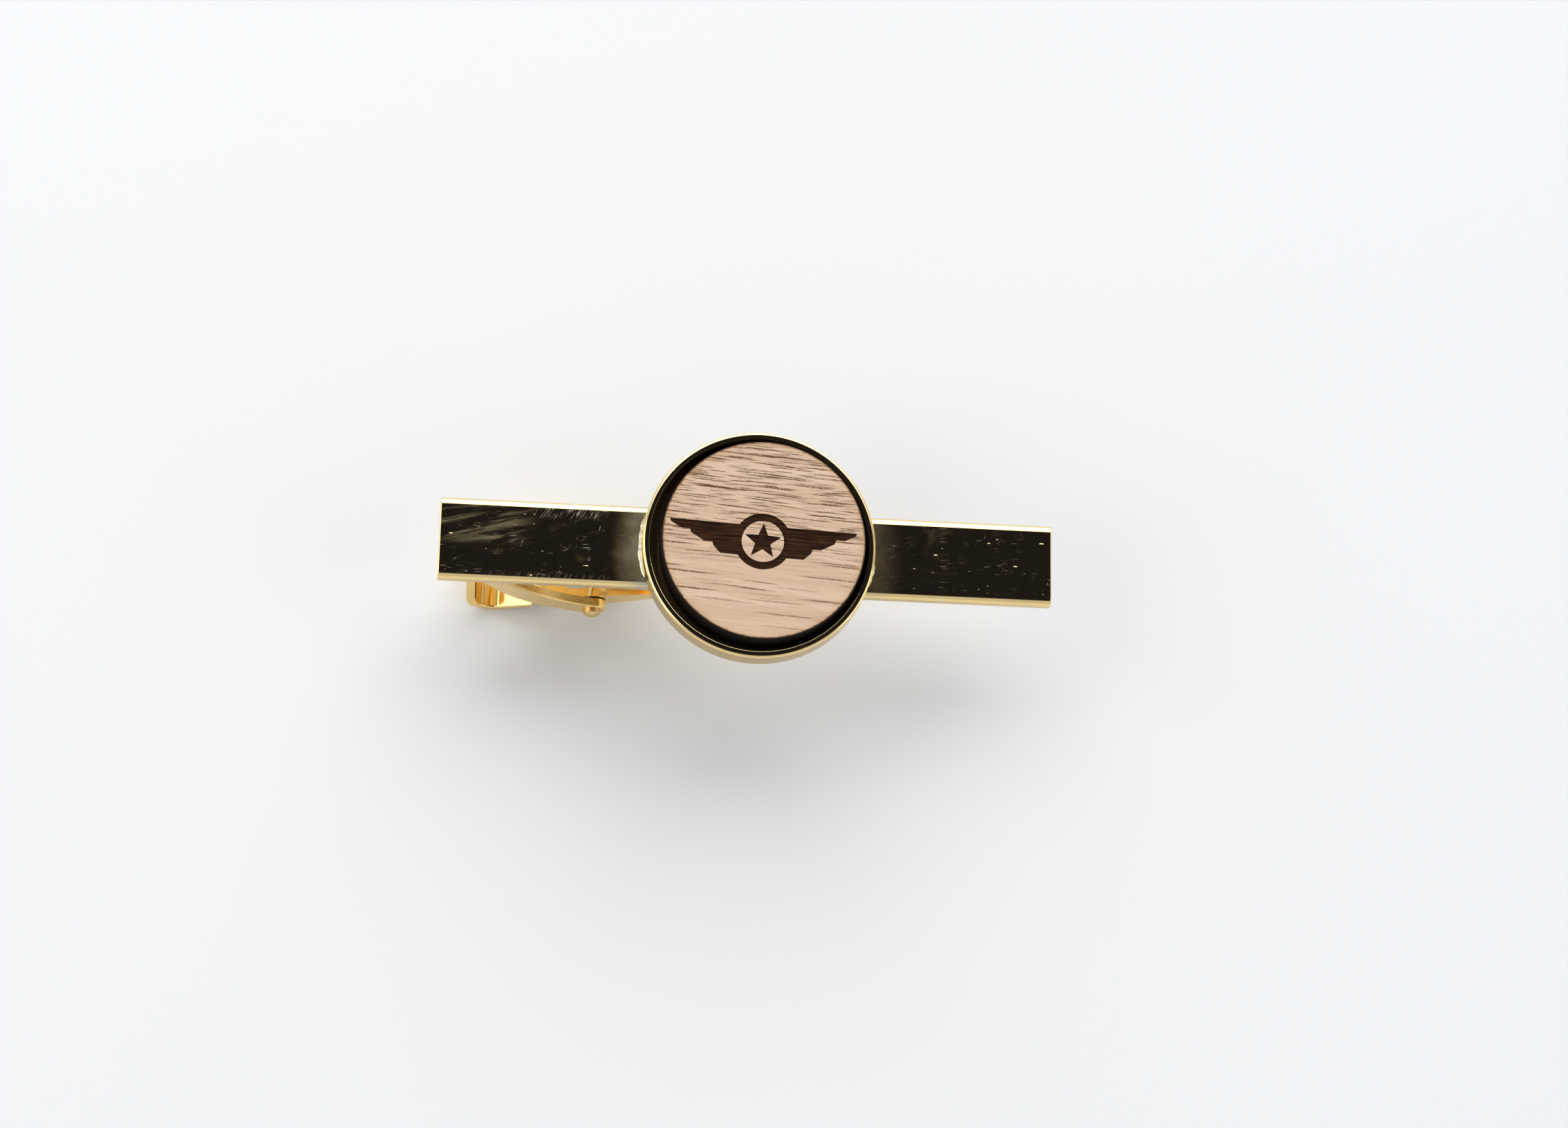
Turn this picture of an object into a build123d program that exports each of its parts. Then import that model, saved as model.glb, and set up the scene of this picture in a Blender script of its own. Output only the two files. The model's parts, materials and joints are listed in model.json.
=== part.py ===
"""Tie clip with a pilot wings medallion.

A polished bar carries a round tray with an engraved wooden disc on its front, and a
sprung alligator clasp on its back, near its left end. Millimetres throughout.

Frame: X runs along the bar, Y towards the top of the emblem, Z out of the front.
The origin is the middle of the bar's back face, against which the jaw grips the tie.
"""

import math
import os

from build123d import *

os.makedirs("parts", exist_ok=True)

# Bar
BAR_LENGTH = 60.0
BAR_WIDTH = 8.2
BAR_THICKNESS = 1.95
BAR_EDGE_ROUND = 0.75
BAR_END_ROUND = 0.15

# Tray that holds the medallion, soldered on the front of the bar
TRAY_X = 0.9
TRAY_RADIUS = 11.35
TRAY_HEIGHT = 2.6
TRAY_FLOOR = 0.9
TRAY_MOUTH_RADIUS = 10.6
TRAY_SEAT_RADIUS = 10.2
TRAY_RIM_FALL = 0.05  # the rim's crown slopes down outwards by this much
TRAY_RIM_BULGE = 0.012
TRAY_RIM_ROUND = 0.3
SOLDER_LEG = 0.35
SOLDER_HALF_ANGLE = 17.0

# Wooden disc glued in the tray, standing proud of its rim
GLUE_THICKNESS = 0.15
GLUE_RADIUS = 9.2
DISC_X = TRAY_X + 0.28
DISC_RADIUS = 9.88
DISC_THICKNESS = 3.1
DISC_EDGE_ROUND = 0.1

# Engraved emblem: a star in a ring between two wings of three feather tiers
EMBLEM_SHIFT = (-0.12, -0.2)  # from the middle of the disc
EMBLEM_TILT = -2.2
EMBLEM_DEPTH = 0.12
RING_RADIUS = 2.8
RING_INNER_RADIUS = 2.05
STAR_RADIUS = 1.85
STAR_WAIST = 0.43  # inner radius as a share of the outer one
FEATHER_ROOT = 2.3
# Each tier: top, bottom, reach of its upper corner, reach of its lower corner
FEATHER_TIERS = [
    (1.57, 0.72, 9.1, 7.95),
    (0.72, -0.42, 7.1, 5.65),
    (-0.42, -1.5, 4.87, 4.05),
]

# Clasp bracket: a folded strip whose two ears curve back and to the right
EAR_OUTSIDE = 3.6
EAR_THICKNESS = 0.9
BRACKET_PLATE = 0.6
BRACKET_LEFT = -25.9
BRACKET_RIGHT = -18.5
PLATE_SOLDER_LEG = 0.5
EAR_ROOT_WIDTH = 2.4
EAR_END_RADIUS = 1.4
EAR_BACK_BOW = (-21.82, -7.0)  # a point on the long outer curve
EAR_FRONT_BOW = (-19.5, -5.5)  # a point on the short inner curve
EAR_EDGE_ROUND = 0.2

# Pivot pin, riveted through both ears
PIVOT_X = -14.5
PIVOT_Z = -9.8
PIN_RADIUS = 0.6
PIN_HEAD_RADIUS = 0.85
PIN_HEAD_HEIGHT = 0.7
PIN_DOME_HEIGHT = 0.35
EAR_HOLE_CLEARANCE = 0.02
LEVER_HOLE_CLEARANCE = 0.05

# Lever: one bent strip, thumb end on the left and toothed jaw on the right
STRIP = 0.85
THUMB_HALF_WIDTH = 3.3
ARM_HALF_WIDTH = 2.6
SHOULDER_X = -20.5
THUMB_TOP = (-26.65, -8.2)
THUMB_CORNER = (-26.55, -13.15)
KNEE = (-19.1, -10.0)
JAW_CORNER = (8.6, -1.3)
JAW_TIP_Z = -0.05
THUMB_BEND = 2.2
TAB_HALF_WIDTH = 1.7  # at the top of the upturned tab
TAB_SHOULDER_Z = -11.2  # below this the tab is as wide as the thumb plate
TAB_CORNER_ROUND = 0.6
STRIP_EDGE_ROUND = 0.2
KNEE_BEND = 6.0
JAW_BEND = 0.6
FLANGE_THICKNESS = 0.6
FLANGE_EYE_RADIUS = 1.5
FLANGE_LEFT = (-18.4, -9.7)
FLANGE_RIGHT = (-5.0, -6.0)
WINDOW_LEFT = -17.2
WINDOW_RIGHT = -12.4
WINDOW_HALF_WIDTH = 1.75
TOOTH_COUNT = 5
TOOTH_DEPTH = 0.6

# Torsion spring round the pin
WIRE_RADIUS = 0.25
COIL_RADIUS = 0.95
COIL_PITCH = 0.53
LEG_TO_BAR_ANGLE = 130.0  # direction of the leg that bears on the bracket's plate
LEG_TO_ARM_ANGLE = 5.0  # direction of the leg that lifts the arm
COIL_WHOLE_TURNS = 4
LEG_TO_BAR = 10.9
LEG_TO_ARM = 3.6

bar_front = BAR_THICKNESS
tray_floor_top = bar_front + TRAY_FLOOR
disc_bottom = tray_floor_top + GLUE_THICKNESS
disc_top = disc_bottom + DISC_THICKNESS
ear_inside = EAR_OUTSIDE - EAR_THICKNESS


def write(part, name):
    """Labels a finished piece and writes it as parts/NAME.step."""
    part.label = name
    export_step(part, f"parts/{name}.step")


# The bar, its long edges rounded by polishing and its ends only softened
with BuildPart() as front_bar:
    with BuildSketch(Plane.YZ.offset(-BAR_LENGTH / 2)):
        with Locations((0, BAR_THICKNESS / 2)):
            RectangleRounded(BAR_WIDTH, BAR_THICKNESS, BAR_EDGE_ROUND)
    extrude(amount=BAR_LENGTH)
    fillet(front_bar.faces().filter_by(Axis.X).edges(), BAR_END_ROUND)
write(front_bar.part, "front_bar")

# The tray, turned about its own axis: flat floor and a wall that thins to the rim
with BuildPart() as medallion_tray:
    with BuildSketch(Plane.XZ.shift_origin((TRAY_X, 0, bar_front))):
        with BuildLine():
            mouth = (TRAY_MOUTH_RADIUS, TRAY_HEIGHT)
            brow = (TRAY_RADIUS, TRAY_HEIGHT - TRAY_RIM_FALL)
            crown = (
                (mouth[0] + brow[0]) / 2,
                (mouth[1] + brow[1]) / 2 + TRAY_RIM_BULGE,
            )
            ThreePointArc(mouth, crown, brow)
            Polyline(brow, (TRAY_RADIUS, 0), (0, 0), (0, TRAY_FLOOR), (TRAY_SEAT_RADIUS, TRAY_FLOOR), mouth)
        make_face()
    revolve(axis=Axis((TRAY_X, 0, 0), (0, 0, 1)))
    rim_edges = medallion_tray.edges().filter_by(GeomType.CIRCLE).group_by(Axis.Z)[-2:]
    fillet(rim_edges[0] + rim_edges[1], TRAY_RIM_ROUND)
write(medallion_tray.part, "medallion_tray")

# Solder, a bead in the corner between tray and bar at each side of the tray
with BuildPart() as tray_solder:
    for side in (0, 180):
        start = Plane(
            origin=(TRAY_X, 0, bar_front),
            x_dir=Vector(1, 0, 0).rotate(Axis.Z, side - SOLDER_HALF_ANGLE),
            z_dir=Vector(0, -1, 0).rotate(Axis.Z, side - SOLDER_HALF_ANGLE),
        )
        with BuildSketch(start):
            with BuildLine():
                Polyline(
                    (TRAY_RADIUS, 0),
                    (TRAY_RADIUS + SOLDER_LEG, 0),
                    (TRAY_RADIUS, SOLDER_LEG),
                    close=True,
                )
            make_face()
        revolve(axis=Axis((TRAY_X, 0, 0), (0, 0, 1)), revolution_arc=2 * SOLDER_HALF_ANGLE)
write(tray_solder.part, "tray_solder")

# Glue under the disc
with BuildPart() as disc_glue:
    with BuildSketch(Plane.XY.offset(tray_floor_top)):
        with Locations((DISC_X, 0)):
            Circle(GLUE_RADIUS)
    extrude(amount=GLUE_THICKNESS)
write(disc_glue.part, "disc_glue")

# The wooden disc, with the emblem sunk into its face
with BuildPart() as wood_disc:
    with BuildSketch(Plane.XY.offset(disc_bottom)):
        with Locations((DISC_X, 0)):
            Circle(DISC_RADIUS)
    extrude(amount=DISC_THICKNESS)
    fillet(wood_disc.edges().group_by(Axis.Z)[-1], DISC_EDGE_ROUND)
    emblem_plane = Plane(
        origin=(DISC_X + EMBLEM_SHIFT[0], EMBLEM_SHIFT[1], disc_top),
        x_dir=Vector(1, 0, 0).rotate(Axis.Z, EMBLEM_TILT),
        z_dir=(0, 0, 1),
    )
    with BuildSketch(emblem_plane) as emblem:
        for top, bottom, reach_top, reach_bottom in FEATHER_TIERS:
            with BuildLine():
                Polyline(
                    (FEATHER_ROOT, top),
                    (reach_top, top),
                    (reach_top - 0.12, top - 0.35 * (top - bottom)),
                    (reach_bottom, bottom),
                    (FEATHER_ROOT - 0.35, bottom),
                    close=True,
                )
            make_face()
        mirror(about=Plane.YZ)
        Circle(RING_RADIUS)
        Circle(RING_INNER_RADIUS, mode=Mode.SUBTRACT)
        with BuildLine():
            star = []
            for corner in range(10):
                reach = STAR_RADIUS * (1 if corner % 2 == 0 else STAR_WAIST)
                turn = math.radians(90 + 36 * corner)
                star.append((reach * math.cos(turn), reach * math.sin(turn)))
            Polyline(*star, close=True)
        make_face()
    extrude(amount=-EMBLEM_DEPTH, mode=Mode.SUBTRACT)
write(wood_disc.part, "wood_disc")

# The bracket: a plate on the back of the bar and two ears that carry the pin
with BuildPart() as clasp_bracket:
    with BuildSketch(Plane.XY.offset(-BRACKET_PLATE)):
        with Locations((BRACKET_LEFT, 0)):
            Rectangle(
                BRACKET_RIGHT - BRACKET_LEFT,
                2 * EAR_OUTSIDE,
                align=(Align.MIN, Align.CENTER),
            )
    extrude(amount=BRACKET_PLATE)
    with BuildSketch(Plane.XZ.offset(ear_inside)):
        with BuildLine():
            root_back = (BRACKET_LEFT, 0)
            root_front = (BRACKET_LEFT + EAR_ROOT_WIDTH, 0)
            end_back = (PIVOT_X, PIVOT_Z - EAR_END_RADIUS)
            end_tip = (PIVOT_X + EAR_END_RADIUS, PIVOT_Z)
            end_front = (PIVOT_X, PIVOT_Z + EAR_END_RADIUS)
            ThreePointArc(root_back, EAR_BACK_BOW, end_back)
            ThreePointArc(end_back, end_tip, end_front)
            ThreePointArc(end_front, EAR_FRONT_BOW, root_front)
            Line(root_front, root_back)
        make_face()
        with Locations((PIVOT_X, PIVOT_Z)):
            Circle(PIN_RADIUS + EAR_HOLE_CLEARANCE, mode=Mode.SUBTRACT)
    extrude(amount=EAR_THICKNESS)
    mirror(about=Plane.XZ)
    ear_rims = clasp_bracket.edges().filter_by(GeomType.CIRCLE).filter_by(
        lambda edge: abs((edge @ 0.5).Y) > EAR_OUTSIDE - 0.01 and not edge.is_closed
    )
    fillet(ear_rims, EAR_EDGE_ROUND)
write(clasp_bracket.part, "clasp_bracket")

# Solder along the right end of the bracket's plate
with BuildPart() as bracket_solder:
    with BuildSketch(Plane.XZ):
        with BuildLine():
            Polyline(
                (BRACKET_RIGHT, 0),
                (BRACKET_RIGHT + PLATE_SOLDER_LEG, 0),
                (BRACKET_RIGHT, -PLATE_SOLDER_LEG),
                close=True,
            )
        make_face()
    extrude(amount=ARM_HALF_WIDTH, both=True)
write(bracket_solder.part, "bracket_solder")

# The pin, with a domed head at each end
pin_plane = Plane(origin=(PIVOT_X, 0, PIVOT_Z))
dome_radius = (PIN_HEAD_RADIUS**2 + PIN_DOME_HEIGHT**2) / (2 * PIN_DOME_HEIGHT)
with BuildPart() as pivot_pin:
    with BuildSketch(pin_plane):
        with BuildLine():
            neck = (PIN_RADIUS, EAR_OUTSIDE)
            brim = (PIN_HEAD_RADIUS, EAR_OUTSIDE)
            shoulder = (PIN_HEAD_RADIUS, EAR_OUTSIDE + PIN_HEAD_HEIGHT - PIN_DOME_HEIGHT)
            crown = (0, EAR_OUTSIDE + PIN_HEAD_HEIGHT)
            Polyline((PIN_RADIUS, 0), neck, brim, shoulder)
            RadiusArc(crown, shoulder, dome_radius)
            mirror(about=Plane.XZ)
            Line(crown, (0, -crown[1]))
        make_face()
    revolve(axis=Axis(pin_plane.origin, (0, 1, 0)))
write(pivot_pin.part, "pivot_pin")

# The lever: thumb plate, eye flanges round the pin, arm and toothed jaw
with BuildPart() as clasp_lever:
    with BuildSketch(Plane.XZ):
        with BuildLine():
            FilletPolyline(
                THUMB_TOP,
                THUMB_CORNER,
                KNEE,
                JAW_CORNER,
                (JAW_CORNER[0], JAW_TIP_Z),
                radius=[THUMB_BEND, KNEE_BEND, JAW_BEND],
            )
        trace(line_width=STRIP)
    extrude(amount=THUMB_HALF_WIDTH, both=True)
    with BuildSketch(Plane.XY.offset(-20)):
        with BuildLine():
            Polyline(
                (-30, -THUMB_HALF_WIDTH - 1),
                (SHOULDER_X, -THUMB_HALF_WIDTH - 1),
                (SHOULDER_X, -THUMB_HALF_WIDTH + 0.25),
                (SHOULDER_X + 0.45, -ARM_HALF_WIDTH),
                (JAW_CORNER[0] + 2, -ARM_HALF_WIDTH),
                (JAW_CORNER[0] + 2, 0),
                (-30, 0),
                close=True,
            )
        make_face()
        mirror(about=Plane.XZ)
    extrude(amount=25, mode=Mode.INTERSECT)
    with BuildSketch(Plane.YZ.offset(THUMB_TOP[0] - STRIP)):
        with BuildLine():
            Polyline(
                (TAB_HALF_WIDTH, 0),
                (TAB_HALF_WIDTH, THUMB_TOP[1]),
                (THUMB_HALF_WIDTH, TAB_SHOULDER_Z),
                (THUMB_HALF_WIDTH + 1, TAB_SHOULDER_Z),
                (THUMB_HALF_WIDTH + 1, 0),
                close=True,
            )
        make_face()
        mirror(about=Plane.YZ)
    extrude(amount=3 * STRIP, mode=Mode.SUBTRACT)
    tab_corners = clasp_lever.edges().filter_by(Axis.X).group_by(Axis.Z)[-1]
    fillet(tab_corners, TAB_CORNER_ROUND)
    with BuildSketch(Plane.XZ.offset(ARM_HALF_WIDTH - FLANGE_THICKNESS)):
        with BuildLine():
            CenterArc((PIVOT_X, PIVOT_Z), FLANGE_EYE_RADIUS, 0, 360)
            Line(FLANGE_LEFT, FLANGE_RIGHT)
        make_hull()
    extrude(amount=FLANGE_THICKNESS)
    mirror(about=Plane.XZ)
    with BuildSketch(Plane.XZ):
        with Locations((PIVOT_X, PIVOT_Z)):
            Circle(PIN_RADIUS + LEVER_HOLE_CLEARANCE)
    extrude(amount=EAR_OUTSIDE, both=True, mode=Mode.SUBTRACT)
    with BuildSketch(Plane.XY.offset(-12)):
        with Locations(((WINDOW_LEFT + WINDOW_RIGHT) / 2, 0)):
            RectangleRounded(WINDOW_RIGHT - WINDOW_LEFT, 2 * WINDOW_HALF_WIDTH, 0.5)
    extrude(amount=8, mode=Mode.SUBTRACT)
    tooth_pitch = 2 * ARM_HALF_WIDTH / TOOTH_COUNT
    with BuildSketch(Plane.YZ.offset(JAW_CORNER[0] - 1)):
        with GridLocations(tooth_pitch, 1, TOOTH_COUNT - 1, 1):
            Polygon(
                (-0.4 * tooth_pitch, JAW_TIP_Z + 0.05),
                (0, JAW_TIP_Z - TOOTH_DEPTH),
                (0.4 * tooth_pitch, JAW_TIP_Z + 0.05),
                align=None,
            )
    extrude(amount=3, mode=Mode.SUBTRACT)
    plate_rims = clasp_lever.edges().filter_by(
        lambda edge: abs((edge @ 0.5).Y) > THUMB_HALF_WIDTH - 0.01 and edge.length > STRIP
    )
    arm_rims = clasp_lever.edges().filter_by(
        lambda edge: abs((edge @ 0.5).Y) > ARM_HALF_WIDTH - 0.01
        and (edge @ 0.5).X > FLANGE_RIGHT[0]
        and edge.length > 1
    )
    fillet(plate_rims + arm_rims, STRIP_EDGE_ROUND)
write(clasp_lever.part, "clasp_lever")

# The spring: a leg from the bracket's plate, the coil round the pin, a leg under the arm
entry = math.radians(LEG_TO_BAR_ANGLE - 90)
leave = math.radians(LEG_TO_ARM_ANGLE + 90)
coil_turns = COIL_WHOLE_TURNS - (leave - entry) / (2 * math.pi)
coil_length = COIL_PITCH * coil_turns
coil_plane = Plane(
    origin=(PIVOT_X, -coil_length / 2, PIVOT_Z),
    x_dir=(math.cos(entry), 0, math.sin(entry)),
    z_dir=(0, 1, 0),
)
with BuildPart() as clasp_spring:
    with BuildLine() as wire:
        coil = Helix(pitch=COIL_PITCH, height=coil_length, radius=COIL_RADIUS)
        Line(coil @ 0, coil @ 0 - (coil % 0) * LEG_TO_BAR)
        Line(coil @ 1, coil @ 1 + (coil % 1) * LEG_TO_ARM)
    path = wire.wires()[0]
    with BuildSketch(Plane(origin=path @ 0, z_dir=path % 0)):
        Circle(WIRE_RADIUS)
    sweep(path=path)
write(clasp_spring.part.moved(coil_plane.location), "clasp_spring")
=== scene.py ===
"""Looks of the tie clip: materials, fine pieces, floor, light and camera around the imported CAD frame.

Lengths named in the script are millimetres, and MM turns them into Blender's metres.
"""

import json
import math

import bmesh
import bpy
from mathutils import Euler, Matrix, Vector, noise


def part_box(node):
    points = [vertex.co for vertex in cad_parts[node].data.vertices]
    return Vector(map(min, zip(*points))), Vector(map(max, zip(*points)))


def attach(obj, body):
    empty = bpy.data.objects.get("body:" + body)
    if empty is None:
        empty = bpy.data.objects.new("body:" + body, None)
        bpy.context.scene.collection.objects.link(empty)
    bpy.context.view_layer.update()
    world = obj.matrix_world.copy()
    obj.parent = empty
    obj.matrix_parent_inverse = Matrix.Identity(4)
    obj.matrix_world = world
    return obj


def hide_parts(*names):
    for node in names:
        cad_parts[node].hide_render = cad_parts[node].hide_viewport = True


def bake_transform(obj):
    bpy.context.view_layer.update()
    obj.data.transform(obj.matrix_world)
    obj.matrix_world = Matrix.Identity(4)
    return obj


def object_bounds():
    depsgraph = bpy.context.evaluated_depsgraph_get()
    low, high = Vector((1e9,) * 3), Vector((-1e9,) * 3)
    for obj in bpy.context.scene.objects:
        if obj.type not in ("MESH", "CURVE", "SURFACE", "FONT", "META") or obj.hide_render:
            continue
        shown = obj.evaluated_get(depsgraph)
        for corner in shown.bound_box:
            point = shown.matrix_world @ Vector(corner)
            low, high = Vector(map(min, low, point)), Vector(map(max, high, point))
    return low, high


MM = 0.001

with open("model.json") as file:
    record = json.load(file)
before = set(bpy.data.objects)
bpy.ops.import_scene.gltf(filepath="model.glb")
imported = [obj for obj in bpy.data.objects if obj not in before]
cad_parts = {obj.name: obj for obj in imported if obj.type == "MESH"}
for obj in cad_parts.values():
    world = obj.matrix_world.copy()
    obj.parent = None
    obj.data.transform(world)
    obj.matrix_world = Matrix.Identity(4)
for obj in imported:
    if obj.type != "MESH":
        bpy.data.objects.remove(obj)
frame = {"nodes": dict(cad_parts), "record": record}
cad_low, cad_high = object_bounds()
nodes = frame["nodes"]


def box_mm(node):
    """Lowest and highest corner of a CAD node, in millimetres."""
    return [Vector(corner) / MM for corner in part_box(node)]


disc_low, disc_high = box_mm("wood_disc")
tray_low, tray_high = box_mm("medallion_tray")
bar_high = box_mm("front_bar")[1]
disc_middle = (disc_low + disc_high) / 2
disc_radius = (disc_high.x - disc_low.x) / 2
tray_middle = (tray_low + tray_high) / 2
tray_radius = (tray_high.x - tray_low.x) / 2
hinge = frame["record"]["behaviour"]["joints"][0]
pivot = Vector(hinge["pos_m"]) / MM


# ---------------------------------------------------------------- shader helpers


class Shader:
    """A node tree with one Principled shader and short calls for the nodes around it."""

    def __init__(self, name):
        self.material = bpy.data.materials.new(name)
        self.material.use_nodes = True
        self.tree = self.material.node_tree
        self.tree.nodes.clear()
        self.output = self.add("ShaderNodeOutputMaterial")
        self.surface = self.add("ShaderNodeBsdfPrincipled")
        self.link(self.surface.outputs["BSDF"], self.output.inputs["Surface"])
        source = self.add("ShaderNodeTexCoord").outputs["Object"]
        self.place = self.scaled(source, (1 / MM, 1 / MM, 1 / MM))

    def add(self, kind, **settings):
        node = self.tree.nodes.new(kind)
        for key, value in settings.items():
            setattr(node, key, value)
        return node

    def link(self, source, target):
        self.tree.links.new(source, target)

    def put(self, target, value):
        """Links value if it is a socket, and stores it if it is a number or a colour."""
        if isinstance(value, bpy.types.NodeSocket):
            self.link(value, target)
        else:
            target.default_value = value

    def set(self, **inputs):
        for key, value in inputs.items():
            self.put(self.surface.inputs[key.replace("_", " ")], value)

    def scaled(self, vector, scale, turn=0.0, shift=(0, 0, 0)):
        """vector scaled, then turned about Z by so many degrees, then shifted."""
        node = self.add("ShaderNodeMapping", vector_type="POINT")
        self.link(vector, node.inputs["Vector"])
        node.inputs["Scale"].default_value = scale
        node.inputs["Rotation"].default_value = (0, 0, math.radians(turn))
        node.inputs["Location"].default_value = shift
        return node.outputs["Vector"]

    def stretched(self, vector, turn, scale):
        """vector turned about Z so that strokes at turn degrees lie along X, then scaled."""
        return self.scaled(self.scaled(vector, (1, 1, 1), turn=-turn), scale)

    def noise(self, vector, scale, detail=4.0, rough=0.55, distortion=0.0):
        node = self.add("ShaderNodeTexNoise")
        self.link(vector, node.inputs["Vector"])
        node.inputs["Scale"].default_value = scale
        node.inputs["Detail"].default_value = detail
        node.inputs["Roughness"].default_value = rough
        node.inputs["Distortion"].default_value = distortion
        return node.outputs["Fac"]

    def dabs(self, vector, radius, share, soft=0.35, flat=False):
        """Separate round dabs of uneven strength, one in that share of unit cells, of up to that radius.
        Flat ones lie in the XY plane, and others in space."""
        node = self.add("ShaderNodeTexVoronoi", feature="F1")
        node.voronoi_dimensions = "2D" if flat else "3D"
        self.link(vector, node.inputs["Vector"])
        node.inputs["Scale"].default_value = 1.0
        lot = self.parts(node.outputs["Color"])
        size = self.span(lot[1], 0.0, 1.0, 0.4 * radius, radius, smooth=False)
        edge = self.math("DIVIDE", node.outputs["Distance"], size)
        dab = self.span(edge, 1.0 - soft, 1.0, 1.0, 0.0)
        strength = self.span(lot[2], 0.0, 1.0, 0.3, 1.0, smooth=False)
        return self.product(dab, strength, self.math("LESS_THAN", lot[0], share))

    def math(self, operation, a, b=0.0, clamp=False):
        node = self.add("ShaderNodeMath", operation=operation, use_clamp=clamp)
        self.put(node.inputs[0], a)
        self.put(node.inputs[1], b)
        return node.outputs[0]

    def sum(self, *values):
        total = values[0]
        for value in values[1:]:
            total = self.math("ADD", total, value, clamp=True)
        return total

    def product(self, *values):
        total = values[0]
        for value in values[1:]:
            total = self.math("MULTIPLY", total, value)
        return total

    def span(self, value, low, high, to_low=0.0, to_high=1.0, smooth=True):
        """value mapped from low..high to to_low..to_high, and held there outside."""
        node = self.add("ShaderNodeMapRange")
        node.interpolation_type = "SMOOTHSTEP" if smooth else "LINEAR"
        self.put(node.inputs["Value"], value)
        node.inputs["From Min"].default_value = low
        node.inputs["From Max"].default_value = high
        node.inputs["To Min"].default_value = to_low
        node.inputs["To Max"].default_value = to_high
        return node.outputs["Result"]

    def inside(self, value, low, high, soft):
        """1 where value is between low and high, fading to 0 over soft outside."""
        rise = self.span(value, low - soft, low)
        return self.math("MULTIPLY", rise, self.span(value, high, high + soft, 1.0, 0.0))

    def mix(self, amount, first, second):
        node = self.add("ShaderNodeMix", data_type="RGBA")
        self.put(node.inputs[0], amount)
        for key, value in ((6, first), (7, second)):
            if not isinstance(value, bpy.types.NodeSocket):
                value = (*value[:3], 1.0)
            self.put(node.inputs[key], value)
        return node.outputs[2]

    def parts(self, vector):
        node = self.add("ShaderNodeSeparateXYZ")
        self.link(vector, node.inputs[0])
        return node.outputs

    def radius(self, middle):
        """Distance from a vertical line through middle."""
        local = self.scaled(self.place, (1, 1, 0), shift=(-middle.x, -middle.y, 0))
        node = self.add("ShaderNodeVectorMath", operation="LENGTH")
        self.link(local, node.inputs[0])
        return node.outputs["Value"]

    def bump(self, height, distance, strength=1.0):
        node = self.add("ShaderNodeBump")
        self.put(node.inputs["Height"], height)
        node.inputs["Distance"].default_value = distance * MM
        node.inputs["Strength"].default_value = strength
        return node.outputs["Normal"]


# ---------------------------------------------------------------- materials

PALE_GOLD = (0.93, 0.71, 0.33)
WARM_GOLD = (0.95, 0.69, 0.28)
DUST = (0.80, 0.79, 0.76)
# A bluish film: greasy smudges, and round the bar's tray a painted reflection of the tray's rim.
GREASE_AND_REFLECTION = (0.23, 0.36, 0.42)
# Painted shade: a darker brown gold laid on the tray's wall and the bar's lower edges, for the dim floor
# they reflect.
SHADED_SIDE_GOLD = (0.56, 0.38, 0.16)


def hairlines(s, turn, share, flat, length=0.7):
    """Short straight scratches at turn degrees, as a mask. The longest are twice length."""
    width = 0.026
    spread = 0.4
    vector = s.stretched(s.place, turn, (spread / length, spread / width, 0.6))
    return s.dabs(vector, spread, share, soft=0.7, flat=flat)


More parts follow.
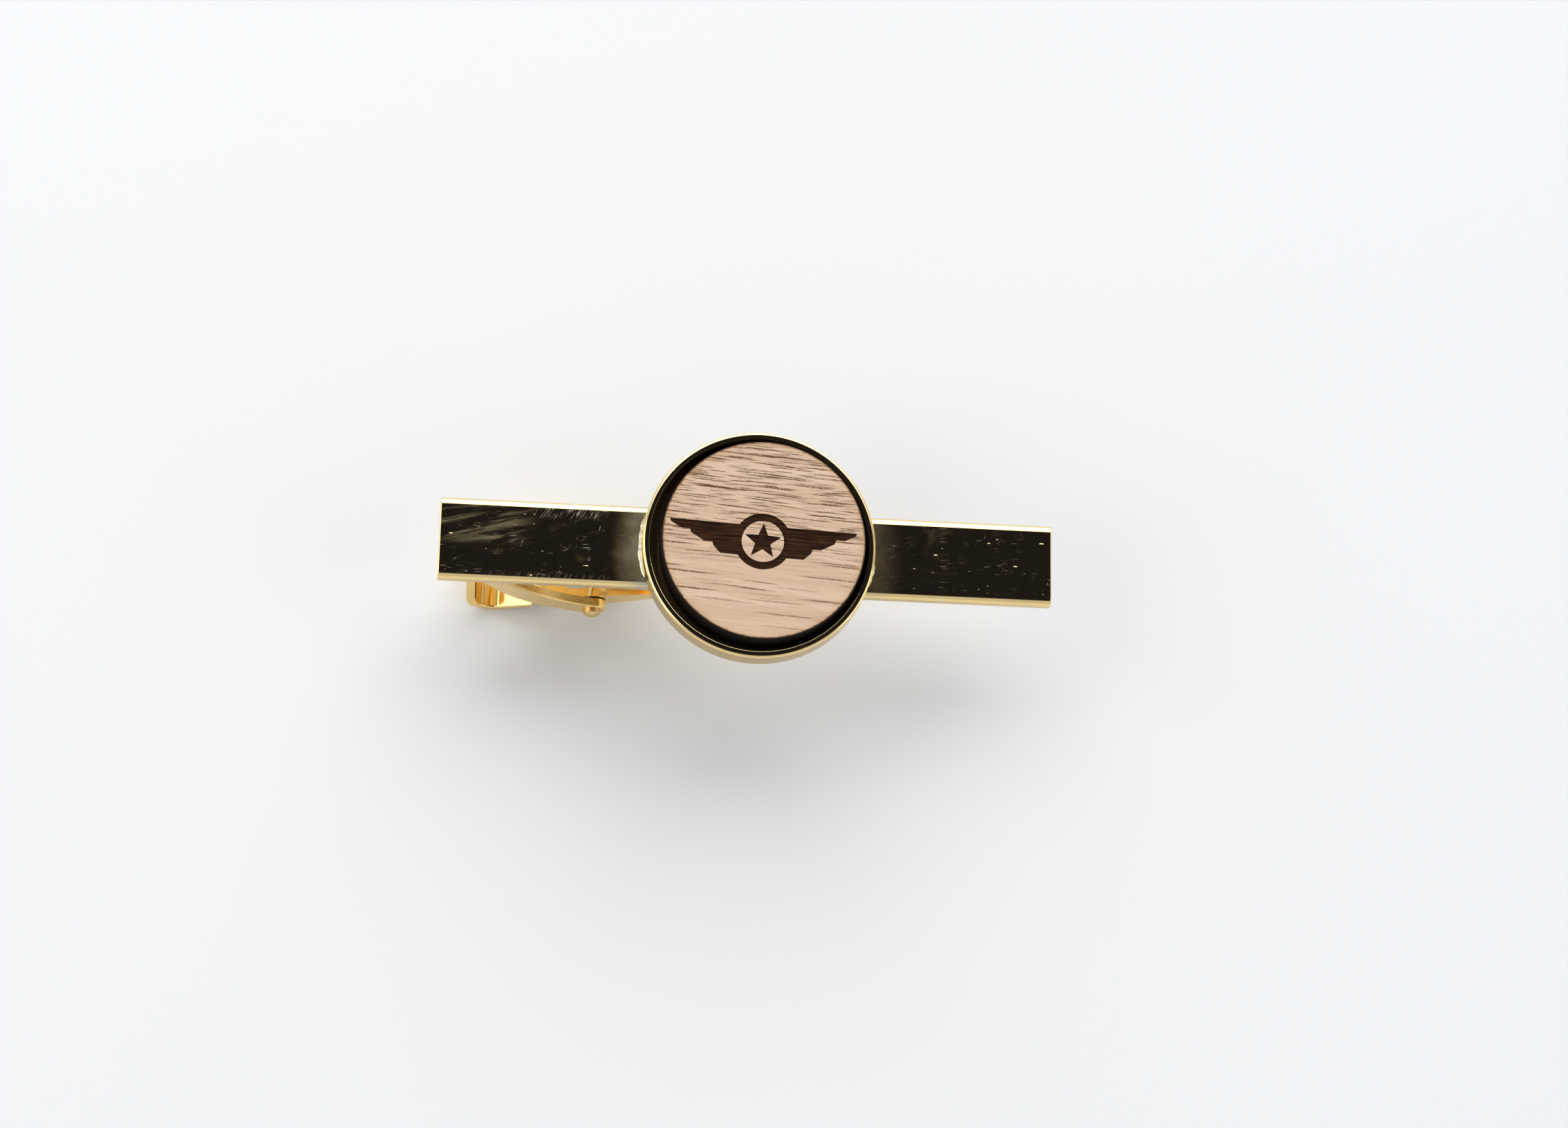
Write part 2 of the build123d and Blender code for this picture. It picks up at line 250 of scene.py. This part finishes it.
def gold(name, colour, rough, grain=0.0, haze=None, marks=None, side=None, flat=False):
    """Gold plate with a polisher's grain, hairline scratches, dents, greasy smudges and specks of dust,
    and where asked painted reflection and painted shade.

    haze, marks and side each take the shader and give a mask: a bluish film (greasy smudges, and on the
    bar a painted reflection of the tray's rim), more scratches, and painted shade on the sides, a darker
    gold for the dim floor they reflect. A flat piece has its marks laid out in the XY plane.
    """
    s = Shader(name)
    worn = s.span(s.noise(s.scaled(s.place, (0.6, 1, 1)), 0.55, detail=3.0), 0.46, 0.66, 0.08, 1.0)
    strokes = [hairlines(s, turn, 0.03, flat) for turn in (-9, 1, 5, 13)]
    strokes += [hairlines(s, turn, 0.012, flat, length=0.5) for turn in (38, 74, 115)]
    scratches = s.math("MULTIPLY", s.sum(*strokes), worn)
    if marks is not None:
        scratches = s.sum(scratches, marks(s))
    fine = s.dabs(s.scaled(s.place, (7, 7, 7)), 0.24, 0.15, soft=0.8, flat=flat)
    coarse = s.dabs(s.scaled(s.place, (1.1, 3.0, 2.0)), 0.18, 0.025, soft=0.7, flat=flat)
    specks = s.sum(s.product(fine, worn, 0.6), coarse)
    dents = s.dabs(s.scaled(s.place, (0.38, 1.3, 1.3)), 0.12, 0.035, soft=0.9, flat=flat)
    smears = s.span(s.noise(s.scaled(s.place, (0.5, 1, 1)), 0.36, detail=5.0, distortion=1.2), 0.58, 0.85)
    grease_and_reflection = s.math("MULTIPLY", smears, 0.12)
    if haze is not None:
        grease_and_reflection = s.sum(grease_and_reflection, haze(s))
    tone = s.span(s.noise(s.place, 0.25), 0.3, 0.7)
    tint = s.mix(tone, colour, [0.95 * c for c in colour])
    # Painted shade: the side mask darkens the tint towards a brown gold, while the roughness is left as it
    # is.
    if side is not None:
        tint = s.mix(side(s), tint, SHADED_SIDE_GOLD)
    # The bluish film goes into the colour: greasy smudges everywhere, and on the bar a painted reflection
    # of the tray's rim round the tray.
    tint = s.mix(s.math("MULTIPLY", grease_and_reflection, 0.7), tint, GREASE_AND_REFLECTION)
    tint = s.mix(s.sum(scratches, specks), tint, DUST)
    brushed = s.noise(s.stretched(s.place, 0, (0.8, 9, 9)), 1.6, detail=3.0)
    roughness = s.sum(
        s.span(brushed, 0.3, 0.7, rough, rough + grain),
        s.math("MULTIPLY", grease_and_reflection, 0.12),
        s.math("MULTIPLY", s.sum(scratches, specks), 0.3),
    )
    bare = s.sum(s.math("MULTIPLY", specks, 0.5), s.math("MULTIPLY", scratches, 0.3))
    bare = s.sum(bare, s.math("MULTIPLY", grease_and_reflection, 0.40))
    s.set(
        Base_Color=tint,
        Metallic=s.math("SUBTRACT", 1.0, bare, clamp=True),
        Roughness=roughness,
        Normal=s.bump(dents, 0.03, 0.7),
    )
    return s.material


def tray_wall_shade(s):
    """Painted shade on the turned wall under the tray's polished rim: a mask that darkens the wall's gold,
    for the dim floor it reflects.
    """
    height = s.parts(s.place)[2]
    return s.span(height, tray_high.z - 0.55, tray_high.z - 0.2, 0.75, 0.0)


def bar_lower_shade(s):
    """Painted shade on the bar's edges and back: a mask that darkens their gold below the front, for the
    dim floor they reflect.
    """
    height = s.parts(s.place)[2]
    return s.span(height, bar_high.z - 1.0, bar_high.z - 0.3, 0.45, 0.0)


def bar_grease_and_reflection(s):
    """Round the tray, a bluish film painted as a reflection of the tray's rim; over the bar's left end,
    grease streaked by a wiping cloth.
    """
    x, y, _ = s.parts(s.place)
    reach = s.radius(tray_middle)
    left = s.span(x, tray_middle.x - 2, tray_middle.x + 2, 1.0, 0.3)
    # Painted reflection: a bluish film strongest at the tray's wall, fading over 3.5 mm, and more on the
    # left.
    round_tray = s.math("MULTIPLY", s.span(reach, tray_radius - 0.3, tray_radius + 3.2, 1.0, 0.0), left)
    wiped = s.noise(s.stretched(s.place, 12, (0.16, 1.3, 1)), 1.0, detail=5.0, distortion=0.7)
    end = s.product(s.inside(x, -31, -25, 5), s.inside(y, 0.6, 5, 1.4), s.span(wiped, 0.45, 0.7))
    cloudy = s.span(s.noise(s.place, 0.5, detail=3.0), 0.3, 0.7, 0.45, 1.0)
    return s.sum(s.product(round_tray, cloudy, 0.85), s.math("MULTIPLY", end, 0.65))


def bar_combs(s):
    """Two combs of fine parallel scratches, by the top edge and by the bottom edge."""
    x, y, _ = s.parts(s.place)
    teeth = s.span(s.noise(s.stretched(s.place, 62, (0.5, 9, 1)), 1.0, detail=2.0), 0.56, 0.64)
    top = s.math("MULTIPLY", s.inside(x, -20, -15, 1.5), s.inside(y, 2.6, 3.8, 0.5))
    bottom = s.math("MULTIPLY", s.inside(x, -24, -15, 2), s.inside(y, -3.7, -3.4, 0.3))
    return s.product(teeth, s.sum(top, s.math("MULTIPLY", bottom, 0.6)), 0.6)


# Depths below the disc's face at which the engraving's burn starts and is full
BURN_STARTS = 0.02
BURN_FULL = 0.10
GRAIN_SLOPE = -4.0  # degrees that the grain falls towards the right


def engraved_wood():
    """Pale open-pored wood: grain, pores, toasted rim, burnt wall and engraving."""
    s = Shader("engraved_wood")
    x, y, z = s.parts(s.place)
    sway = s.noise(s.scaled(s.place, (0.12, 0.3, 0.2)), 1.0, detail=2.0)
    jitter = s.noise(s.scaled(s.place, (2.2, 1.2, 0.2)), 1.0, detail=3.0)
    swayed = s.add("ShaderNodeCombineXYZ")
    s.link(x, swayed.inputs[0])
    moved = s.math("ADD", y, s.math("MULTIPLY", sway, 0.35))
    s.link(s.math("ADD", moved, s.math("MULTIPLY", jitter, 0.12)), swayed.inputs[1])
    s.link(z, swayed.inputs[2])
    grain = swayed.outputs[0]
    bands = s.noise(s.stretched(grain, GRAIN_SLOPE, (0.05, 0.9, 0.3)), 1.0, detail=4.0)
    fibres = s.noise(s.stretched(grain, GRAIN_SLOPE, (0.35, 8.0, 1.2)), 1.0, detail=4.0, rough=0.7)
    colour = s.mix(s.span(bands, 0.3, 0.7), (0.695, 0.515, 0.370), (0.59, 0.415, 0.287))
    colour = s.mix(s.span(fibres, 0.48, 0.74, 0.0, 0.4), colour, (0.33, 0.205, 0.125))
    long_lines = s.stretched(grain, GRAIN_SLOPE, (0.06, 2.5, 1))
    short_lines = s.stretched(grain, GRAIN_SLOPE - 1.0, (0.11, 3.9, 1))
    fine_lines = s.stretched(grain, GRAIN_SLOPE + 1.0, (0.24, 6.0, 1))
    long_pores = s.dabs(long_lines, 0.30, 0.9, soft=0.45, flat=True)
    short_pores = s.dabs(short_lines, 0.37, 0.95, soft=0.45, flat=True)
    fine_pores = s.dabs(fine_lines, 0.38, 0.8, soft=0.45, flat=True)
    upper = s.span(y, disc_middle.y - 4.0, disc_middle.y + 3.0, 0.05, 1.0)
    pores = s.sum(
        s.math("MULTIPLY", long_pores, s.span(upper, 0.0, 1.0, 0.75, 1.0)),
        s.math("MULTIPLY", s.sum(short_pores, fine_pores), upper),
    )
    broken = s.span(s.noise(s.place, 3.5, detail=3.0), 0.36, 0.55, 0.6, 1.0)
    pores = s.math("MULTIPLY", pores, broken)
    colour = s.mix(s.math("MULTIPLY", pores, 1.35, clamp=True), colour, (0.135, 0.066, 0.032))

    reach = s.radius(disc_middle)
    uneven = s.math("MULTIPLY", s.math("SUBTRACT", s.noise(s.place, 2.5), 0.5), 0.22)
    ragged = s.math("ADD", reach, uneven)
    toast = s.span(ragged, disc_radius - 0.22, disc_radius - 0.08)
    warm = s.span(ragged, disc_radius - 0.8, disc_radius - 0.1, 0.0, 0.35)
    colour = s.mix(warm, colour, (0.50, 0.27, 0.11))
    colour = s.mix(s.math("MULTIPLY", toast, 0.85), colour, (0.045, 0.022, 0.012))

    rows = s.noise(s.stretched(s.place, -2, (0.35, 7.0, 1)), 1.0, detail=3.0)
    burn = s.mix(s.span(rows, 0.42, 0.66), (0.017, 0.0065, 0.003), (0.060, 0.024, 0.009))
    burn = s.mix(s.math("MULTIPLY", pores, 0.7), burn, (0.008, 0.004, 0.003))
    sunk = s.span(z, disc_high.z - BURN_FULL, disc_high.z - BURN_STARTS, 1.0, 0.0)
    soot = s.noise(s.scaled(s.place, (3, 3, 0.4)), 1.6)
    char = s.mix(soot, (0.005, 0.004, 0.004), (0.017, 0.013, 0.011))
    colour = s.mix(sunk, colour, burn)
    colour = s.mix(s.span(reach, disc_radius - 0.06, disc_radius - 0.02), colour, char)
    relief = s.math("SUBTRACT", s.math("MULTIPLY", fibres, 0.35), pores)
    s.set(
        Base_Color=colour,
        Roughness=s.span(fibres, 0.2, 0.8, 0.65, 0.85),
        Normal=s.bump(relief, 0.03, 0.8),
    )
    s.surface.inputs["Specular IOR Level"].default_value = 0.06
    return s.material


def wire_steel():
    """Drawn spring wire."""
    s = Shader("spring_steel")
    drawn = s.noise(s.scaled(s.place, (1, 6, 1)), 3.0)
    s.set(
        Base_Color=s.mix(drawn, (0.55, 0.53, 0.5), (0.68, 0.65, 0.6)),
        Metallic=1.0,
        Roughness=s.span(drawn, 0.3, 0.7, 0.2, 0.36),
        Normal=s.bump(drawn, 0.01, 0.4),
    )
    return s.material


def solder_metal():
    """Bright solder, plated over thinly with gold."""
    s = Shader("solder")
    lumps = s.noise(s.place, 2.2, detail=5.0, rough=0.6)
    s.set(
        Base_Color=s.mix(s.span(lumps, 0.35, 0.65), (0.86, 0.72, 0.44), (0.85, 0.83, 0.76)),
        Metallic=1.0,
        Roughness=s.span(lumps, 0.3, 0.7, 0.1, 0.28),
        Normal=s.bump(lumps, 0.05, 0.7),
    )
    return s.material


def clear_glue():
    """Cured amber glue."""
    s = Shader("glue")
    waves = s.noise(s.place, 0.8, detail=3.0)
    s.set(
        Base_Color=s.mix(waves, (0.5, 0.42, 0.28), (0.62, 0.53, 0.38)),
        Roughness=s.span(waves, 0.3, 0.7, 0.12, 0.3),
        Normal=s.bump(waves, 0.03, 0.5),
    )
    return s.material


def dress(node, material):
    for slot in nodes[node].material_slots:
        slot.material = material


solder = solder_metal()
steel = wire_steel()
bar_gold = gold("polished_bar", PALE_GOLD, 0.03, haze=bar_grease_and_reflection, marks=bar_combs, side=bar_lower_shade, flat=True)
dress("front_bar", bar_gold)
tray_gold = gold("polished_tray", PALE_GOLD, 0.05, side=tray_wall_shade)
dress("clasp_bracket", gold("satin_bracket", WARM_GOLD, 0.17, grain=0.14))
dress("pivot_pin", gold("pin_gold", (0.80, 0.60, 0.27), 0.34, grain=0.1))
dress("clasp_lever", gold("lever_gold", WARM_GOLD, 0.07, grain=0.08))
dress("wood_disc", engraved_wood())
dress("disc_glue", clear_glue())


# ---------------------------------------------------------------- pieces

# The spring's wire, as the CAD model has it
WIRE_RADIUS = 0.25
COIL_RADIUS = 0.95
COIL_PITCH = 0.53
START_ANGLE = math.radians(40)  # where the coil leaves the leg that bears on the bracket
END_ANGLE = math.radians(95)  # where it meets the leg that lifts the arm
WHOLE_TURNS = 4
LEG_TO_BAR = 10.9
LEG_TO_ARM = 3.6


def spring_line():
    """The middle of the wire: leg, coil and leg, with the coil's ends."""
    sweep = 2 * math.pi * WHOLE_TURNS - (END_ANGLE - START_ANGLE)
    rise = COIL_PITCH / (2 * math.pi)
    coil = []
    steps = 200
    for step in range(steps + 1):
        turn = sweep * step / steps
        angle = START_ANGLE - turn
        across = rise * (turn - sweep / 2)
        coil.append(pivot + Vector((COIL_RADIUS * math.cos(angle), across, COIL_RADIUS * math.sin(angle))))
    first = (coil[0] - coil[1]).normalized()
    last = (coil[-1] - coil[-2]).normalized()
    leg_to_bar = [coil[0] + first * LEG_TO_BAR * share for share in (1, 0.75, 0.5, 0.25)]
    leg_to_arm = [coil[-1] + last * LEG_TO_ARM * share for share in (0.33, 0.66, 1)]
    return leg_to_bar + coil + leg_to_arm, coil[0].y, coil[-1].y


def wire_mesh(name, points, radius, sides=14):
    """A round wire along points, with closed ends, as a mesh object."""
    curve = bpy.data.curves.new(name, "CURVE")
    curve.dimensions = "3D"
    curve.bevel_depth = radius * MM
    curve.bevel_resolution = sides // 4
    curve.use_fill_caps = True
    spline = curve.splines.new("POLY")
    spline.points.add(len(points) - 1)
    for point, place in zip(spline.points, points):
        point.co = (*(place * MM), 1.0)
    source = bpy.data.objects.new(name + "_line", curve)
    bpy.context.scene.collection.objects.link(source)
    bpy.context.view_layer.update()
    mesh = bpy.data.meshes.new_from_object(source.evaluated_get(bpy.context.evaluated_depsgraph_get()))
    bpy.data.objects.remove(source)
    return mesh_object(name, mesh)


def mesh_object(name, mesh):
    piece = bpy.data.objects.new(name, mesh)
    bpy.context.scene.collection.objects.link(piece)
    for face in mesh.polygons:
        face.use_smooth = True
    return piece


def finish_piece(piece, material, node):
    piece.data.materials.clear()
    piece.data.materials.append(material)
    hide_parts(node)


def torsion_spring():
    """The spring, which winds between the bracket's body and the lever's."""
    points, start, end = spring_line()
    spring = wire_mesh("torsion_spring", points, WIRE_RADIUS)
    finish_piece(spring, steel, "clasp_spring")
    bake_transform(spring)


def add_bead(grid, corner, out, up, length, leg, seed):
    """Adds a lumpy bead of solder to grid.

    corner(t) gives its place and out(t) its open side, as t goes from 0 to 1.
    """
    rows, sides = 72, 10
    rings = []
    for row in range(rows + 1):
        t = row / rows
        end = max(0.02, 1 - abs(2 * t - 1) ** 6)
        lump = noise.noise(Vector((t * length * 0.9, seed, 0.3)))
        finer = noise.noise(Vector((t * length * 2.6, seed, 5.1)))
        size = leg * end * (0.75 + 0.34 * lump + 0.16 * finer)
        ring = []
        for side in range(sides + 1):
            turn = math.pi / 2 * side / sides
            sag = size * (1 - 0.3 * math.sin(2 * turn))
            reach = out(t) * math.cos(turn) * sag + up * math.sin(turn) * sag
            ring.append(grid.verts.new((corner(t) + reach) * MM))
        ring.append(grid.verts.new(corner(t) * MM))
        rings.append(ring)
    for near, far in zip(rings, rings[1:]):
        for side in range(len(near)):
            after = (side + 1) % len(near)
            grid.faces.new((near[side], near[after], far[after], far[side]))
    grid.faces.new(reversed(rings[0]))
    grid.faces.new(rings[-1])


def grid_object(name, grid):
    """Turns a bmesh into a smooth object with its faces outwards."""
    bmesh.ops.recalc_face_normals(grid, faces=grid.faces)
    mesh = bpy.data.meshes.new(name)
    grid.to_mesh(mesh)
    grid.free()
    return mesh_object(name, mesh)


SOLDER_BURIED = 0.03  # how far a bead's corner lies inside the metal, so that no gap shows


def tray_beads():
    high = box_mm("tray_solder")[1]
    leg = high.x - tray_middle.x - tray_radius
    half_angle = math.asin(high.y / (tray_radius + leg))
    grid = bmesh.new()
    for seed, side in ((1.7, 0.0), (4.2, math.pi)):

        def out(t):
            angle = side + half_angle * (2 * t - 1)
            return Vector((math.cos(angle), math.sin(angle), 0))

        def corner(t):
            foot = Vector((tray_middle.x, tray_middle.y, bar_high.z - SOLDER_BURIED))
            return foot + out(t) * (tray_radius - SOLDER_BURIED)

        length = 2 * half_angle * tray_radius
        add_bead(grid, corner, out, Vector((0, 0, 1)), length, 1.25 * leg, seed)
    beads = grid_object("tray_solder_beads", grid)
    finish_piece(beads, solder, "tray_solder")
    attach(beads, "clip")


def bracket_bead():
    low, high = box_mm("bracket_solder")
    grid = bmesh.new()
    start = Vector((low.x - SOLDER_BURIED, low.y, high.z + SOLDER_BURIED))
    along = Vector((0, high.y - low.y, 0))
    add_bead(
        grid,
        lambda t: start + along * t,
        lambda t: Vector((1, 0, 0)),
        Vector((0, 0, -1)),
        high.y - low.y,
        1.4 * (high.x - low.x),
        9.5,
    )
    bead = grid_object("bracket_solder_bead", grid)
    finish_piece(bead, solder, "bracket_solder")
    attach(bead, "clip")


# The turned tray, with both edges of its rim rounded by polishing
TRAY_FLOOR = 0.9
RIM_WIDTH = 0.75
SEAT_WIDTH = 1.15  # the wall's thickness at the floor
OUTER_ROUND = 0.30
MOUTH_ROUND = 0.18
TRAY_SIDES = 256


def quarter(middle, radius, first_angle):
    """Nine points of a quarter circle, counter-clockwise, as (distance from the axis, height)."""
    angles = [math.radians(first_angle + 90 * step / 8) for step in range(9)]
    return [(middle[0] + radius * math.cos(a), middle[1] + radius * math.sin(a)) for a in angles]


def turned_tray():
    """The tray as a turned shell, closed by the fans of its back and its floor."""
    mouth = tray_radius - RIM_WIDTH
    floor_top = tray_low.z + TRAY_FLOOR
    profile = [(tray_radius, tray_low.z)]
    profile += quarter((tray_radius - OUTER_ROUND, tray_high.z - OUTER_ROUND), OUTER_ROUND, 0)
    profile += quarter((mouth + MOUTH_ROUND, tray_high.z - MOUTH_ROUND), MOUTH_ROUND, 90)
    profile += [(tray_radius - SEAT_WIDTH, floor_top)]

    def place(turn, radius, height):
        x = tray_middle.x + radius * math.cos(turn)
        y = tray_middle.y + radius * math.sin(turn)
        return Vector((x, y, height)) * MM

    grid = bmesh.new()
    turns = [2 * math.pi * side / TRAY_SIDES for side in range(TRAY_SIDES)]
    rings = [[grid.verts.new(place(turn, r, z)) for r, z in profile] for turn in turns]
    back_middle = grid.verts.new(place(0, 0, tray_low.z))
    floor_middle = grid.verts.new(place(0, 0, floor_top))
    for near, far in zip(rings, rings[1:] + rings[:1]):
        for row in range(len(profile) - 1):
            grid.faces.new((near[row], far[row], far[row + 1], near[row + 1]))
        grid.faces.new((back_middle, far[0], near[0]))
        grid.faces.new((floor_middle, near[-1], far[-1]))
    tray = grid_object("turned_tray", grid)
    tray.data.set_sharp_from_angle(angle=math.radians(30))
    finish_piece(tray, tray_gold, "medallion_tray")
    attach(tray, "clip")


torsion_spring()
tray_beads()
bracket_bead()
turned_tray()


# ---------------------------------------------------------------- floor, light, camera

FLOOR_SIZE = 4.0


def floor_material():
    s = Shader("floor")
    s.set(Base_Color=(0.80, 0.81, 0.82, 1.0), Roughness=0.9)
    s.surface.inputs["Specular IOR Level"].default_value = 0.2
    return s.material


bpy.ops.mesh.primitive_plane_add(size=FLOOR_SIZE, location=(0, 0, cad_low.z))
floor = bpy.context.active_object
floor.name = "floor"
floor.data.materials.append(floor_material())


def soft_box(name, azimuth, elevation, distance, width, height, radiance, colour=(1, 1, 1)):
    """A rectangular soft light that faces the object.

    Azimuth 0 is the side towards -Y, and 180 is behind the emblem's top.
    """
    data = bpy.data.lights.new(name, "AREA")
    data.shape, data.size, data.size_y, data.color = "RECTANGLE", width, height, colour
    data.energy = radiance * math.pi * width * height
    light = bpy.data.objects.new(name, data)
    bpy.context.scene.collection.objects.link(light)
    a, e = math.radians(azimuth), math.radians(elevation)
    back = Vector((math.sin(a) * math.cos(e), -math.cos(a) * math.cos(e), math.sin(e)))
    light.location = back * distance
    light.rotation_euler = back.to_track_quat("Z", "Y").to_euler()
    light.visible_camera = False


soft_box("back_box", 178, 35, 1.75, 2.25, 2.10, 2.6)
soft_box("left_box", -86, 36, 1.5, 1.50, 1.25, 1.5, (1.0, 0.99, 0.97))
soft_box("right_box", 80, 30, 1.75, 1.0, 0.875, 1.0, (0.97, 0.99, 1.0))

# The sky is bright round the sides and dark overhead, where the polished faces look. Heights are
# sines of the elevation.
SKY_HORIZON = (0.86, 0.87, 0.885, 1)
SKY_BRIGHT = (0.62, 0.63, 0.645, 1)
SKY_DARK = (0.014, 0.0135, 0.021, 1)
HORIZON_TOP = 0.10
BRIGHT_FROM, BRIGHT_TO = 0.25, 0.77
DARK_FROM = 0.86
world = bpy.data.worlds.new("studio")
bpy.context.scene.world = world
world.use_nodes = True
tree = world.node_tree
tree.nodes.clear()
coords = tree.nodes.new("ShaderNodeTexCoord")
split = tree.nodes.new("ShaderNodeSeparateXYZ")
ramp = tree.nodes.new("ShaderNodeValToRGB")
background = tree.nodes.new("ShaderNodeBackground")
world_output = tree.nodes.new("ShaderNodeOutputWorld")
tree.links.new(coords.outputs["Generated"], split.inputs[0])
tree.links.new(split.outputs[2], ramp.inputs["Fac"])
tree.links.new(ramp.outputs["Color"], background.inputs["Color"])
tree.links.new(background.outputs[0], world_output.inputs["Surface"])
horizon, zenith = ramp.color_ramp.elements
horizon.position, horizon.color = HORIZON_TOP, SKY_HORIZON
zenith.position, zenith.color = DARK_FROM, SKY_DARK
for position in (BRIGHT_FROM, BRIGHT_TO):
    ramp.color_ramp.elements.new(position).color = SKY_BRIGHT

CAMERA_TILT = 15.609  # degrees that the lens looks up from straight down, towards the emblem's top
CAMERA_SWING = -6.001  # degrees to the left of the face's normal
CAMERA_ROLL = 1.119
CAMERA_PLACE = (-29.743, -95.777, 336.297)
CAMERA_LENS = 82.2
CAMERA_SENSOR = 36.0
camera_data = bpy.data.cameras.new("camera")
camera = bpy.data.objects.new("camera", camera_data)
bpy.context.scene.collection.objects.link(camera)
camera_data.lens = CAMERA_LENS
camera_data.sensor_width = CAMERA_SENSOR
camera_data.clip_start, camera_data.clip_end = 0.01, 20.0
camera.location = Vector(CAMERA_PLACE) * MM
camera.rotation_euler = Euler([math.radians(v) for v in (CAMERA_TILT, CAMERA_SWING, CAMERA_ROLL)])
bpy.context.scene.camera = camera
bpy.context.scene.view_settings.view_transform = "Standard"
